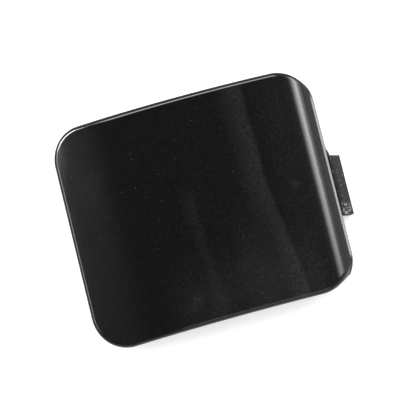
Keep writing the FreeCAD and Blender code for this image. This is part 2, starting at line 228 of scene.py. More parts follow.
class Form(Tree):
    """A geometry node tree with named size inputs, which makes a piece from a path or points."""

    SOCKETS = {float: "Float", int: "Int"}

    def __init__(self, name: str, sizes: Mapping[str, float | int]) -> None:
        """Start the tree.

        Args:
            name: The tree's name.
            sizes: Each size input's name and value: a float in metres or radians, or a count.
        """
        super().__init__(Tree.group(name).tree)
        for way in ("INPUT", "OUTPUT"):
            self.socket("Geometry", "Geometry", way)
        self.sizes: dict[str, float | int] = {}
        for label, size in sizes.items():
            made = self.socket(label, self.SOCKETS[type(size)])
            made.default_value = size
            self.sizes[made.identifier] = size
        self.given = self.node("NodeGroupInput")
        self.start = self.size("Geometry")

    def size(self, label: str) -> Wire:
        """A size input, by its name."""
        return self.out(self.given, label)

    def attribute(self, name: str, data_type: str = "FLOAT") -> Wire:
        """A named attribute of the geometry."""
        kind = "GeometryNodeInputNamedAttribute"
        return self.get(kind, {"Name": name}, "Attribute", data_type=data_type)

    def store(self, geometry: Wire, name: str, value: Value, data_type: str = "FLOAT") -> Wire:
        """Geometry with a value kept on its points under a name."""
        inputs = {"Geometry": geometry, "Name": name, "Value": value}
        options = {"data_type": data_type, "domain": "POINT"}
        return self.get("GeometryNodeStoreNamedAttribute", inputs, **options)

    def position(self) -> Wire:
        """Each point's position."""
        return self.get("GeometryNodeInputPosition")

    def index(self) -> Wire:
        """Each point's number."""
        return self.get("GeometryNodeInputIndex")

    def place(self, geometry: Wire, position: Wire) -> Wire:
        """Geometry with its points at new positions."""
        return self.get("GeometryNodeSetPosition", {"Geometry": geometry, "Position": position})

    def line(self, count: Value, first: Any, step: Any) -> Wire:
        """A row of points, by their number, the first of them and the step to the next."""
        inputs = {"Count": count, "Start Location": first, "Offset": step}
        return self.get("GeometryNodeMeshLine", inputs)

    def block(self, size: Wire, points: Value = 2) -> Wire:
        """A box round the origin, with a number of points along X."""
        return self.get("GeometryNodeMeshCube", {"Size": size, "Vertices X": points})

    def copies(self, points: Wire, instance: Wire, turn: Any = (0.0, 0.0, 0.0)) -> Wire:
        """A copy of a geometry at each point, turned round the three axes."""
        inputs = {"Points": points, "Instance": instance, "Rotation": turn}
        return self.get("GeometryNodeInstanceOnPoints", inputs)

    def realized(self, geometry: Wire) -> Wire:
        """Geometry with its instances made real."""
        return self.get("GeometryNodeRealizeInstances", {"Geometry": geometry})

    def join(self, pieces: Sequence[Wire]) -> Wire:
        """Several geometries as one."""
        made = self.node("GeometryNodeJoinGeometry")
        for piece in pieces:
            self.feed(made.inputs[0], piece)
        return self.out(made)

    def boolean(self, operation: str, tools: Sequence[Wire], base: Wire | None = None) -> Wire:
        """Geometries united, or taken away from a base."""
        made = self.node("GeometryNodeMeshBoolean", operation=operation, solver="EXACT")
        if base is not None:
            self.feed(made.inputs[0], base)
        for tool in tools:
            self.feed(made.inputs[1], tool)
        return self.out(made)

    def material(self, geometry: Wire, finish: bpy.types.Material, where: Value = True) -> Wire:
        """Geometry with a material, all over or where a test holds."""
        inputs = {"Geometry": geometry, "Material": finish, "Selection": where}
        return self.get("GeometryNodeSetMaterial", inputs)

    def end(self, geometry: Wire) -> None:
        """Make a geometry the tree's result."""
        self.node("NodeGroupOutput", {"Geometry": geometry})

    def run(self, name: str, start: bpy.types.Mesh) -> bpy.types.Object:
        """Run the tree on a mesh and keep its result as a plain, closed mesh.

        Args:
            name: The new object's name.
            start: The path or the points that the tree works on.

        Returns:
            An object at the origin with the finished mesh and no modifier.
        """
        piece = put(name, start)
        builder = piece.modifiers.new("form", "NODES")
        builder.node_group = self.tree
        for identifier, size in self.sizes.items():
            builder[identifier] = size
        return bake(piece)


def bake(piece: bpy.types.Object) -> bpy.types.Object:
    """Turn an object's modifiers into its own mesh, with doubles merged and faces outwards.

    Args:
        piece: The object, which keeps its name and loses its modifiers.

    Returns:
        The same object.
    """
    graph = bpy.context.evaluated_depsgraph_get()
    graph.update()
    mesh = bpy.data.meshes.new_from_object(piece.evaluated_get(graph), depsgraph=graph)
    piece.modifiers.clear()
    work = bmesh.new()
    work.from_mesh(mesh)
    bmesh.ops.remove_doubles(work, verts=work.verts, dist=MESH_MERGE)
    bmesh.ops.recalc_face_normals(work, faces=work.faces)
    if work.calc_volume(signed=True) < 0:
        bmesh.ops.reverse_faces(work, faces=work.faces)
    work.to_mesh(mesh)
    work.free()
    mesh.name = piece.name
    piece.data = mesh
    return piece


def path_mesh(
    name: str, places: Sequence[Sequence[float]], closed: bool, **marks: Sequence[Any]
) -> bpy.types.Mesh:
    """A mesh of bare points or a closed line, with values kept on its points.

    Args:
        name: The mesh's name.
        places: The points, in metres.
        closed: Whether edges join the points into a closed line.
        **marks: Values for each point, numbers or vectors, under each one's name.

    Returns:
        The mesh.
    """
    mesh = bpy.data.meshes.new(name)
    count = len(places)
    edges = [(i, (i + 1) % count) for i in range(count)] if closed else []
    mesh.from_pydata([tuple(p) for p in places], edges, [])
    for mark, values in marks.items():
        vectors = isinstance(values[0], Sequence)
        kept = mesh.attributes.new(mark, "FLOAT_VECTOR" if vectors else "FLOAT", "POINT")
        for item, value in zip(kept.data, values):
            if vectors:
                item.vector = value
            else:
                item.value = value
    return mesh


def sizes_of(piece: Any, *names: str) -> dict[str, float | int]:
    """Some of a piece's sizes, under the labels that its node tree gives them."""
    return {name.capitalize().replace("_", " "): getattr(piece, name) for name in names}


@dataclass(frozen=True)
class PanelSizes:
    """The panel's plan and section. Every other piece takes its place from these."""

    LEAST_ARC_STEPS = 4

    length: float = 88.9 * MM
    left_height: float = 76.2 * MM
    right_height: float = 74.7 * MM
    upper_left_corner: float = 11.0 * MM
    lower_left_corner: float = 12.8 * MM
    upper_right_corner: float = 11.0 * MM
    lower_right_corner: float = 11.6 * MM
    apex_height: float = 22.2 * MM
    crown_radius: float = 150.0 * MM
    roll_radius: float = 8.0 * MM
    end_slope: float = math.radians(78.0)
    flank_length: float = 0.4 * MM
    rim_land: float = 1.6 * MM
    skin: float = 2.6 * MM
    edge_radius: float = 1.6 * MM
    overhang: float = 7.0 * MM
    shift: float = -1.4124 * MM

    @property
    def right_edge(self) -> float:
        """Place of the rolled side's rim along X, in the part's own frame."""
        return self.length / 2 + self.shift

    @property
    def crown_z(self) -> float:
        """Height of the crown's centre."""
        return self.apex_height - self.crown_radius

    @property
    def roll_x(self) -> float:
        """Place of the roll's centre along X."""
        flank = self.flank_length * math.cos(self.end_slope)
        return self.length / 2 - self.roll_radius * math.sin(self.end_slope) - flank

    @property
    def roll_z(self) -> float:
        """Height of the roll's centre."""
        reach = self.crown_radius - self.roll_radius
        return self.crown_z + math.sqrt(reach**2 - self.roll_x**2)

    @property
    def rim_z(self) -> float:
        """Height of the rolled side's lower edge."""
        flank = self.flank_length * math.sin(self.end_slope)
        land_top = self.roll_z + self.roll_radius * math.cos(self.end_slope) - flank
        return land_top - self.rim_land

    def half_height(self, x: float) -> float:
        """Half the panel's height at a place along X."""
        fall = (self.left_height - self.right_height) / 2
        return self.left_height / 2 - fall * (x / self.length + 0.5)

    def outline(self, inset: float, spacing: float) -> tuple[list[Vector], list[Vector]]:
        """The plan outline, moved inwards.

        Args:
            inset: How far inside the panel's own outline it runs.
            spacing: The most that two points may lie apart.

        Returns:
            The points, counter-clockwise, and the outward direction at each of them.
        """
        right = self.length / 2 - inset
        low, high = self.half_height(-right) - inset, self.half_height(right) - inset
        fall = Vector((low - high, 2 * right)).normalized()
        sides = [Vector(way) for way in ((fall.x, -fall.y), (1, 0), (fall.x, fall.y), (-1, 0))]
        corners = [
            (-right, -low, self.lower_left_corner - inset),
            (right, -high, self.lower_right_corner - inset),
            (right, high, self.upper_right_corner - inset),
            (-right, low, self.upper_left_corner - inset),
        ]
        arcs: list[list[tuple[Vector, Vector]]] = []
        for i, (x, y, radius) in enumerate(corners):
            before, after = sides[i - 1], sides[i]
            centre = Vector((x, y)) - (before + after) * (radius / (1 + before.dot(after)))
            start, turn = math.atan2(before.y, before.x), before.angle(after)
            steps = max(self.LEAST_ARC_STEPS, math.ceil(radius * turn / spacing))
            angles = [start + turn * k / steps for k in range(steps + 1)]
            facing = [Vector((math.cos(a), math.sin(a))) for a in angles]
            arcs.append([(centre + way * radius, way) for way in facing])
        points: list[Vector] = []
        outwards: list[Vector] = []
        for i, arc in enumerate(arcs):
            here, goal = arc[-1][0], arcs[(i + 1) % len(arcs)][0][0]
            count = math.ceil((goal - here).length / spacing)
            run = [(here.lerp(goal, k / count), sides[i]) for k in range(1, count)]
            for place, way in arc + run:
                points.append(place)
                outwards.append(way)
        return points, outwards

    def outline_mesh(self, name: str, inset: float, spacing: float) -> bpy.types.Mesh:
        """The plan outline as a closed line, with its outward directions."""
        points, outwards = self.outline(inset, spacing)
        return path_mesh(
            name,
            [(p.x, p.y, 0.0) for p in points],
            True,
            outward=[(w.x, w.y, 0.0) for w in outwards],
        )

    def section_sizes(self) -> dict[str, float | int]:
        """The section's sizes, under the labels that the node trees give them."""
        names = ("crown_z", "crown_radius", "roll_x", "roll_z", "roll_radius", "end_slope")
        return sizes_of(self, *names)


def section_group() -> bpy.types.NodeTree:
    """The panel's section as a node group: the surface's height and lean at a place and a depth."""
    found = bpy.data.node_groups.get("panel_section")
    if found:
        return found
    tree = Tree.group("panel_section")
    labels = ["X", "Depth", *PanelSizes().section_sizes()]
    for label in labels:
        tree.socket(label)
    for label in ("Height", "Lean"):
        tree.socket(label, way="OUTPUT")
    given = tree.node("NodeGroupInput")
    x, depth, crown_z, crown_full, roll_x, roll_z, roll_full, slope = (
        tree.out(given, label) for label in labels
    )
    crown, roll = crown_full - depth, roll_full - depth
    across = x - roll_x
    join_x = crown * roll_x / (crown_full - roll_full)
    end_x = roll_x + roll * tree.math("SINE", slope)
    end_z = roll_z + roll * tree.math("COSINE", slope)
    on_crown = crown_z + tree.math("SQRT", crown * crown - x * x)
    on_roll = roll_z + tree.math("SQRT", tree.math("MAXIMUM", roll * roll - across * across, 0.0))
    on_flank = end_z - (x - end_x) * tree.math("TANGENT", slope)
    past_join, past_roll = tree.above(x, join_x), tree.above(x, end_x)
    height = tree.choose(past_join, on_crown, on_roll, "FLOAT")
    height = tree.choose(past_roll, height, on_flank, "FLOAT")
    roll_lean = tree.math("ARCSINE", tree.math("MINIMUM", across / roll, 1.0))
    lean = tree.choose(past_join, tree.math("ARCSINE", x / crown), roll_lean, "FLOAT")
    lean = tree.choose(past_roll, lean, slope, "FLOAT")
    tree.node("NodeGroupOutput", {"Height": height, "Lean": lean})
    return tree.tree


class SectionForm(Form):
    """A geometry node tree whose piece follows the panel's section."""

    def __init__(self, name: str, panel: PanelSizes, sizes: Mapping[str, float | int]) -> None:
        """Start the tree with the section's sizes, the skin's, the shift and the piece's own."""
        section = panel.section_sizes()
        super().__init__(name, {**section, **sizes_of(panel, "skin", "shift"), **sizes})
        self.section_labels = list(section)

    def section(self, x: Value, depth: Value) -> tuple[Wire, Wire]:
        """Height and lean of the panel's surface.

        Args:
            x: The place along X.
            depth: How deep the surface lies under the front.

        Returns:
            The surface's height, and its normal's angle from upright.
        """
        sizes = {label: self.size(label) for label in self.section_labels}
        group = self.tree.nodes.new("GeometryNodeGroup")
        group.node_tree = section_group()
        for label, value in {"X": x, "Depth": depth, **sizes}.items():
            self.feed(group.inputs[label], value)
        return self.out(group, "Height"), self.out(group, "Lean")

    def underside(self, x: Value) -> Wire:
        """The height of the panel's underside."""
        return self.section(x, self.size("Skin"))[0]

    def mid_skin(self, x: Value) -> Wire:
        """The height half way through the panel's skin, where the inner parts end."""
        return self.section(x, self.size("Skin") * 0.5)[0]

    def follow(self, rows: Value, closed: bool) -> Wire:
        """Carry a row of points along the tree's own path.

        Args:
            rows: How many points the row has.
            closed: Whether the row's last point joins its first.

        Returns:
            A mesh whose points know their row, their path point (spine) and its outward direction.
        """
        path = self.store(self.start, "spine", self.position(), "FLOAT_VECTOR")
        line = self.line(rows, (0.0, 0.0, 0.0), (0.0, 0.0, MM))
        line = self.store(line, "row", self.index())
        rail, profile = (self.get("GeometryNodeMeshToCurve", {0: mesh}) for mesh in (path, line))
        profile = self.get("GeometryNodeSetSplineCyclic", {"Geometry": profile, "Cyclic": closed})
        inputs = {"Curve": rail, "Profile Curve": profile}
        return self.get("GeometryNodeCurveToMesh", inputs)

    def shifted(self, place: Wire) -> Wire:
        """A place in the part's own frame, from one measured from the middle of the panel."""
        return self.vector("ADD", place, self.xyz(self.size("Shift"), 0.0, 0.0))


@dataclass
class CrownedPanel:
    """The front panel: crowned, rolled at its right side and rounded all round its front edge."""

    HALF_ROW = 0.5

    panel: PanelSizes
    front: bpy.types.Material
    back: bpy.types.Material
    spacing: float = 0.6 * MM
    face_rows: int = 44
    edge_rows: int = 12
    under_rows: int = 26
    rim_bias: float = 0.2
    rim_crowding: float = 2.5
    under_bias: float = 0.4

    def build(self) -> bpy.types.Object:
        """Grow the panel along its outline.

        Returns:
            The panel, one closed skin.
        """
        own = sizes_of(
            self, "face_rows", "edge_rows", "under_rows", "rim_bias", "rim_crowding", "under_bias"
        )
        sizes = {**sizes_of(self.panel, "edge_radius", "rim_z"), **own}
        form = SectionForm("crowned_panel", self.panel, sizes)
        face_rows, edge_rows = form.size("Face rows"), form.size("Edge rows")
        rim_row = face_rows + edge_rows
        swept = form.follow(rim_row + form.size("Under rows") + 2.0, closed=False)
        row = form.attribute("row")
        front, rim = self.front_places(form, row, face_rows, rim_row)
        under = self.under_places(form, row, rim_row)
        place = form.choose(form.above(row, face_rows + self.HALF_ROW), front, rim)
        place = form.choose(form.above(row, rim_row + self.HALF_ROW), place, under)
        grown = form.place(swept, form.shifted(place))
        inputs = {"Geometry": grown, "Distance": NODE_MERGE}
        merged = form.get("GeometryNodeMergeByDistance", inputs)
        dressed = form.material(merged, self.front)
        form.end(form.material(dressed, self.back, form.above(row, rim_row + 1.0)))
        path = self.panel.outline_mesh("panel_outline", self.panel.edge_radius, self.spacing)
        return form.run("panel", path)

    def front_places(
        self, form: SectionForm, row: Wire, face_rows: Wire, rim_row: Wire
    ) -> tuple[Wire, Wire]:
        """Where the front's points go.

        A ball of the edge's radius rolls round inside the outline and under the front face. The
        rounded edge is the part of that ball between its contact with the face and the outline.

        Args:
            form: The tree.
            row: Each point's row, from the middle of the face.
            face_rows: The row at which the face ends.
            rim_row: The row at which the rounded edge ends.

        Returns:
            The places on the face and those on the rounded edge.
        """
        radius = form.size("Edge radius")
        outward = form.attribute("outward", "FLOAT_VECTOR")
        x, y, _ = form.parts(form.attribute("spine", "FLOAT_VECTOR"))
        height, lean = form.section(x, radius)
        ball = form.xyz(x, y, height)
        normal = form.xyz(form.math("SINE", lean), 0.0, form.math("COSINE", lean))
        span = form.math("ARCCOSINE", form.vector("DOT_PRODUCT", normal, outward, result="Value"))
        share = form.ramp(row, face_rows, rim_row)
        from_face = form.scaled(normal, form.math("SINE", (1.0 - share) * span))
        to_side = form.scaled(outward, form.math("SINE", share * span))
        way = form.scaled(form.vector("ADD", from_face, to_side), 1.0 / form.math("SINE", span))
        rim = form.vector("ADD", ball, form.scaled(way, radius))

        contact_x, contact_y, _ = form.parts(form.vector("ADD", ball, form.scaled(normal, radius)))
        bias = form.size("Rim bias")
        inwards = 1.0 - form.ramp(row, 0.0, face_rows)
        crowded = form.math("POWER", inwards, form.size("Rim crowding"))
        reach = 1.0 - inwards * bias - (1.0 - bias) * crowded
        face_x, face_y = contact_x * reach, contact_y * reach
        face_z, _ = form.section(face_x, 0.0)
        return form.xyz(face_x, face_y, face_z), rim

    def under_places(self, form: SectionForm, row: Wire, rim_row: Wire) -> Wire:
        """Where the underside's points go, from the trimmed side's lower edge to the middle."""
        outward = form.attribute("outward", "FLOAT_VECTOR")
        spine = form.attribute("spine", "FLOAT_VECTOR")
        side = form.vector("ADD", spine, form.scaled(outward, form.size("Edge radius")))
        side_x, side_y, _ = form.parts(side)
        inwards = form.ramp(row, rim_row + 1.0, rim_row + 1.0 + form.size("Under rows"))
        bias = form.size("Under bias")
        reach = 1.0 - inwards * bias - inwards * inwards * (1.0 - bias)
        x, y = side_x * reach, side_y * reach
        return form.xyz(x, y, form.math("MAXIMUM", form.underside(x), form.size("Rim z")))


@dataclass
class ReturnWall:
    """The wall that stands back from the rim, with the slots that free its four snap arms."""

    panel: PanelSizes
    finish: bpy.types.Material
    spacing: float = 1.0 * MM
    thickness: float = 2.0 * MM
    draft: float = math.radians(0.5)
    arm_width: float = 10.0 * MM
    slot_width: float = 2.4 * MM
    arm_root: float = 4.0 * MM
    left_arm_spacing: float = 32.0 * MM
    overrun: float = 0.5 * MM
    section_corners: int = 4

    @property
    def left_face(self) -> float:
        """How far the wall's outer face stands from the middle, at the left."""
        return self.panel.length / 2 - self.panel.overhang

    @property
    def end_face(self) -> float:
        """How far the wall's outer face stands from the middle, half way along the upper side."""
        return self.panel.half_height(0.0) - self.panel.overhang

    def build(self) -> bpy.types.Object:
        """Raise the wall along its outline and cut the slots.

        Returns:
            The wall, which reaches half way into the panel's skin.
        """
        arms = sizes_of(self, "arm_width", "slot_width", "arm_root", "left_arm_spacing", "overrun")
        wall = sizes_of(self, "thickness", "draft", "left_face", "end_face")
        form = SectionForm("return_wall", self.panel, {**wall, **arms})
        swept = form.follow(self.section_corners, closed=True)
        row = form.attribute("row")
        # The rows go up the outer face (0 to 1), over the top and down the inner face (2 to 3).
        top = form.ramp(row, 0.0, 1.0) - form.ramp(row, 2.0, 3.0)
        inner = form.ramp(row, 1.0, 2.0)
        spine, outward = (form.attribute(n, "FLOAT_VECTOR") for n in ("spine", "outward"))
        x, y, _ = form.parts(spine)
        z = top * form.mid_skin(x)
        slide = z * form.math("TANGENT", form.size("Draft")) - inner * form.size("Thickness")
        place = form.vector("ADD", form.xyz(x, y, z), form.scaled(outward, slide))
        wall = form.place(swept, form.shifted(place))
        form.end(form.material(form.boolean("DIFFERENCE", [self.slots(form)], wall), self.finish))
        outline = self.panel.outline_mesh("wall_outline", self.panel.overhang, self.spacing)
        return form.run("wall", outline)

    def slots(self, form: SectionForm) -> Wire:
        """The eight boxes that cut the slots, two beside each arm."""
        middle = (form.size("Arm width") + form.size("Slot width")) * 0.5
        deep = form.size("Thickness") + form.size("Overrun") * 2.0
        half = form.size("Thickness") * 0.5
        left_height, end_height = form.underside(form.size("Left face")), form.underside(0.0)
        left_x, end_y = form.size("Left face") - half, form.size("End face") - half
        shift = form.size("Shift")
        boxes = []
        for side in (-1.0, 1.0):
            for way in (-1.0, 1.0):
                left_y = form.size("Left arm spacing") * (0.5 * side) + middle * way
                boxes.append((shift - left_x, left_y, deep, form.size("Slot width"), left_height))
                boxes.append(
                    (shift + middle * way, end_y * side, form.size("Slot width"), deep, end_height)
                )
        slots = []
        for x, y, along_x, along_y, height in boxes:
            rise = height - form.size("Arm root") + form.size("Overrun")
            middle_z = rise * 0.5 - form.size("Overrun")
            inputs = {
                "Geometry": form.block(form.xyz(along_x, along_y, rise)),
                "Translation": form.xyz(x, y, middle_z),
            }
            slots.append(form.get("GeometryNodeTransform", inputs))
        return form.join(slots)


@dataclass
class RibGrid:
    """One rib along X and a pair across it, between the sides of the return wall."""

    wall: ReturnWall
    thickness: float = 1.6 * MM
    draft: float = math.radians(0.5)
    setback: float = 6.0 * MM
    cross_spacing: float = 26.0 * MM
    steps: int = 60

    def build(self) -> bpy.types.Object:
        """Lay out the ribs and bring their tops up to the crown.

        Returns:
            The three ribs.
        """
        panel = self.wall.panel
        middle = self.wall.thickness / 2
        cross_x = self.cross_spacing / 2
        sizes = {
            **sizes_of(self, "thickness", "draft", "setback", "cross_spacing", "steps"),
            "Long rib length": 2 * (self.wall.left_face - middle),
            "Cross rib length": 2 * (panel.half_height(cross_x) - panel.overhang - middle),
        }
        form = SectionForm("rib_grid", panel, sizes)
        along = self.bar(form, "Long rib length", 0.0)
        across = self.bar(form, "Cross rib length", 1.0)
        spacing = form.size("Cross spacing")
        pair = form.line(2, form.xyz(spacing * -0.5, 0.0, 0.0), form.xyz(spacing, 0.0, 0.0))
        pair_of_bars = form.realized(form.copies(pair, across, (0.0, 0.0, math.pi / 2)))
        x, y, z = form.parts(form.position())
        setback = form.size("Setback")
        height = form.choose(form.above(z, 0.0), setback, form.mid_skin(x), "FLOAT")
        side, turned = form.attribute("side"), form.attribute("turned")
        grow = (height - setback) * form.math("TANGENT", form.size("Draft")) * side
        place = form.xyz(x - grow * turned, y + grow * (1.0 - turned), height)
        bars = [form.place(bar, form.shifted(place)) for bar in (along, pair_of_bars)]
        form.end(form.material(form.boolean("UNION", bars), self.wall.finish))
        return form.run("ribs", path_mesh("rib_start", [(0, 0, 0)], False))

    def bar(self, form: SectionForm, length: str, turned: float) -> Wire:
        """A bar along X whose points know which side they are on and whether it will be turned."""
        size = form.xyz(form.size(length), form.size("Thickness"), MM)
        _, y, _ = form.parts(form.position())
        sided = form.store(form.block(size, form.size("Steps")), "side", form.math("SIGN", y))
        return form.store(sided, "turned", turned)


def prism(name: str, profile: Sequence[Point], low: float, high: float) -> bpy.types.Mesh:
    """A closed prism along Y.

    Args:
        name: The mesh's name.
        profile: The outline in X and Z.
        low: Where it starts along Y.
        high: Where it ends.

    Returns:
        The mesh.
    """
    count = len(profile)
    places = [(x, y, z) for y in (low, high) for x, z in profile]
    sides = [(i, (i + 1) % count, count + (i + 1) % count, count + i) for i in range(count)]
    caps = [tuple(range(count)), tuple(reversed(range(count, 2 * count)))]
    mesh = bpy.data.meshes.new(name)
    mesh.from_pydata(places, [], sides + caps)
    return mesh


def rounded(corners: Sequence[tuple[float, float, float]], steps: int = 8) -> list[Point]:
    """A polygon with its corners rounded.

    Args:
        corners: Each corner's two coordinates and its radius, or 0 for a sharp corner.
        steps: How many chords each arc gets.

    Returns:
        The points in the corners' order.
    """
    points: list[Point] = []
    count = len(corners)
    for i, (x, y, radius) in enumerate(corners):
        corner = Vector((x, y))
        if radius == 0:
            points.append((x, y))
            continue
        back = (Vector(corners[i - 1][:2]) - corner).normalized()
        ahead = (Vector(corners[(i + 1) % count][:2]) - corner).normalized()
        half = back.angle(ahead) / 2
        centre = corner + (back + ahead).normalized() * (radius / math.sin(half))
        start = corner + back * (radius / math.tan(half)) - centre
        end = corner + ahead * (radius / math.tan(half)) - centre
        turn = start.angle_signed(end)
        for k in range(steps + 1):
            place = centre + Matrix.Rotation(-turn * k / steps, 2) @ start
            points.append((place.x, place.y))
    return points


@dataclass
class SnapBarbs:
    """A barb on each of the four snap arms."""

    wall: ReturnWall
    width: float = 9.0 * MM
    reach: float = 1.6 * MM
    shoulder: float = 0.9 * MM
    height: float = 6.5 * MM
    bumper_skin: float = 3.0 * MM
    embed: float = 0.5 * MM

    def barb(self) -> bpy.types.Mesh:
        """One barb, with its arm's face at X = 0 and the top of its shoulder at Z = 0."""
        corners = [
            (-self.embed, 0.0),
            (0.0, 0.0),
            (self.reach, -self.shoulder),
            (self.reach, -2 * self.shoulder),
            (0.0, -self.height),
            (-self.embed, -self.height),
        ]
        return prism("barb", corners, -self.width / 2, self.width / 2)

    def build(self) -> bpy.types.Object:
        """Set the barb on the left pair of arms and on the upper and lower arm.

        Returns:
            The four barbs.
        """
        panel = self.wall.panel
        sizes = sizes_of(self.wall, "left_arm_spacing", "left_face", "end_face")
        form = SectionForm("snap_barbs", panel, {**sizes_of(self, "bumper_skin"), **sizes})
        shift, face, end = (form.size(label) for label in ("Shift", "Left face", "End face"))
        spacing, seat = form.size("Left arm spacing"), form.size("Bumper skin")
        left = form.line(
            2,
            form.xyz(shift - face, spacing * -0.5, form.underside(face) - seat),
            form.xyz(0.0, spacing, 0.0),
        )
        ends = form.line(
            2,
            form.xyz(shift, 0.0 - end, form.underside(0.0) - seat),
            form.xyz(0.0, end * 2.0, 0.0),
        )
        outwards = form.xyz(0.0, 0.0, form.index() * math.pi - math.pi / 2)
        rows = ((left, (0.0, 0.0, math.pi)), (ends, outwards))
        barbs = form.join([form.copies(points, form.start, turn) for points, turn in rows])
        form.end(form.material(form.realized(barbs), self.wall.finish))
        return form.run("barbs", self.barb())


@dataclass
class Tongue:
    """The cranked tongue: a web under the rim, a lip bent down from its end, and its gussets."""

    wall: ReturnWall
    finish: bpy.types.Material
    width: float = 20.2 * MM
    offset: float = -2.6 * MM
    thickness: float = 2.2 * MM
    gap: float = 1.8 * MM
    web_reach: float = 0.12 * MM
    flare: float = 5.4 * MM
    lip_slope: float = math.radians(66.0)
    lip_length: float = 6.65 * MM
    edge_radius: float = 0.5 * MM
    gusset_thickness: float = 1.6 * MM
    gusset_spacing: float = 7.5 * MM
    gusset_reach: float = 4.5 * MM
    gusset_foot: float = 0.6 * MM
    gusset_count: int = 3
    flare_steps: int = 24

    @property
    def web_top(self) -> float:
        """Height of the web's upper face."""
        return self.wall.panel.rim_z - self.gap

    @property
    def web_low(self) -> float:
        """Height of the web's lower face."""
        return self.web_top - self.thickness

    @property
    def root_x(self) -> float:
        """Where the web starts, half way through the return wall."""
        return self.wall.left_face - self.wall.thickness / 2

    @property
    def end_x(self) -> float:
        """Where the web's upper face bends down into the lip."""
        return self.wall.panel.length / 2 + self.web_reach

    def crank(self) -> bpy.types.Object:
        """The web's middle and the lip, as one bent strip."""
        shift = self.wall.panel.shift
        low, half = self.web_low, self.width / 2
        sine, cosine = math.sin(self.lip_slope), math.cos(self.lip_slope)
        tip = (self.end_x + self.lip_length * cosine, self.web_top - self.lip_length * sine)
        back = (tip[0] - self.thickness * sine, tip[1] - self.thickness * cosine)
        bend = self.end_x - self.thickness * math.tan(self.lip_slope / 2)
        corners = [
            (self.root_x, low, 0.0),
            (bend, low, 0.0),
            (*back, self.edge_radius),
            (*tip, self.edge_radius),
            (self.end_x, self.web_top, 0.0),
            (self.root_x, self.web_top, 0.0),
        ]
        profile = [(x + shift, z) for x, z in rounded(corners)]
        return self.piece(prism("tongue", profile, self.offset - half, self.offset + half))

    def web(self) -> bpy.types.Object:
        """The web, flared into a quarter round at its upper end."""
        shift = self.wall.panel.shift
        low_y = self.offset - self.width / 2
        high_y = self.offset + self.width / 2 + self.flare
        corners = [
            (self.root_x, low_y, 0.0),
            (self.end_x, low_y, 0.0),
            (self.end_x, high_y, self.flare),
            (self.root_x, high_y, 0.0),
        ]
        plan = [(x + shift, y) for x, y in rounded(corners, self.flare_steps)]
        mesh = prism("web", plan, self.web_low, self.web_top)
        mesh.transform(SWAP_YZ)
        return self.piece(mesh)

    def gussets(self) -> bpy.types.Object:
        """A row of triangular gussets that brace the web against the return wall."""
        shift = self.wall.panel.shift
        low, buried = self.web_low, self.web_top - self.thickness / 2
        toe = self.wall.left_face + self.gusset_reach
        corners = [
            (self.root_x, self.gusset_foot),
            (self.wall.left_face, self.gusset_foot),
            (toe, low),
            (toe, buried),
            (self.root_x, buried),
        ]
        half = self.gusset_thickness / 2
        plate = prism("gusset", [(x + shift, z) for x, z in corners], -half, half)
        form = Form("gusset_row", sizes_of(self, "offset", "gusset_spacing", "gusset_count"))
        count, spacing = form.size("Gusset count"), form.size("Gusset spacing")
        first = form.size("Offset") - (count - 1.0) * spacing * 0.5
        row = form.line(count, form.xyz(0.0, first, 0.0), form.xyz(0.0, spacing, 0.0))
        copies = form.realized(form.copies(row, form.start))
        form.end(form.material(copies, self.finish))
        return form.run("gussets", plate)

    def piece(self, mesh: bpy.types.Mesh) -> bpy.types.Object:
        """A mesh as an object with the tongue's finish."""
        mesh.materials.append(self.finish)
        return bake(put(mesh.name, mesh))

    def build(self) -> list[bpy.types.Object]:
        """The tongue's pieces, which overlap where they are to be joined."""
        return [self.crank(), self.web(), self.gussets()]


@dataclass(frozen=True)
class PaintedStreak:
    """A painted reflection: a pale streak painted into the front's colour. It builds up from its
    soft side and stops at its crisp edge.

    The edge runs along Y and drifts to the right below the knee. All the places are the part's own.
    """

    edge: float
    drift: float
    soft_side: float
    crisp_side: float
    shade: float
    flat_top: float = 0.0
    knee: float = 6.0 * MM
    foot: float = -34.0 * MM
    starts: tuple[float, ...] = mm(40.0, 39.0)

    def add(self, tree: "ShaderTree", x: Wire, y: Wire) -> Wire:
        """How much paler the painted streak makes the surface.

        Args:
            tree: The finish's tree.
            x: The place along X, in metres.
            y: The place along Y, in metres.

        Returns:
            The painted streak's own colour level at the place.
        """
        middle = self.edge + tree.ramp(y, self.knee, self.foot, 0.0, self.drift)
        across = x - middle
        rise = -self.flat_top - self.soft_side
        built = tree.ramp(across, rise, -self.flat_top, smooth=True)
        cut = tree.ramp(across, 0.0, self.crisp_side, 1.0, 0.0, smooth=True)
        return built * cut * tree.ramp(y, *self.starts, 0.0, self.shade, smooth=True)


@dataclass(frozen=True)
class Dust:
    """Dust of one size: how far apart its specks can lie, how large and pale, and how many."""

    cell: float
    radius: float
    share: float
    shade: float


@dataclass(frozen=True)
class PaintedPatch:
    """A painted reflection: a soft pale oval painted into the front's colour."""

    x: float
    y: float
    length: float
    width: float
    turn: float
    shade: float

    def add(self, tree: "ShaderTree", flat: Wire) -> Wire:
        """How much paler the painted patch makes the surface at a flat place."""
        inputs = {
            "Vector": flat,
            "Location": (self.x, self.y, 0.0),
            "Rotation": (0.0, 0.0, self.turn),
            "Scale": (self.length / 2, self.width / 2, 1.0),
        }
        away = tree.length(tree.get("ShaderNodeMapping", inputs, vector_type="TEXTURE"))
        return tree.ramp(away, 0.0, 1.0, self.shade, 0.0, smooth=True)


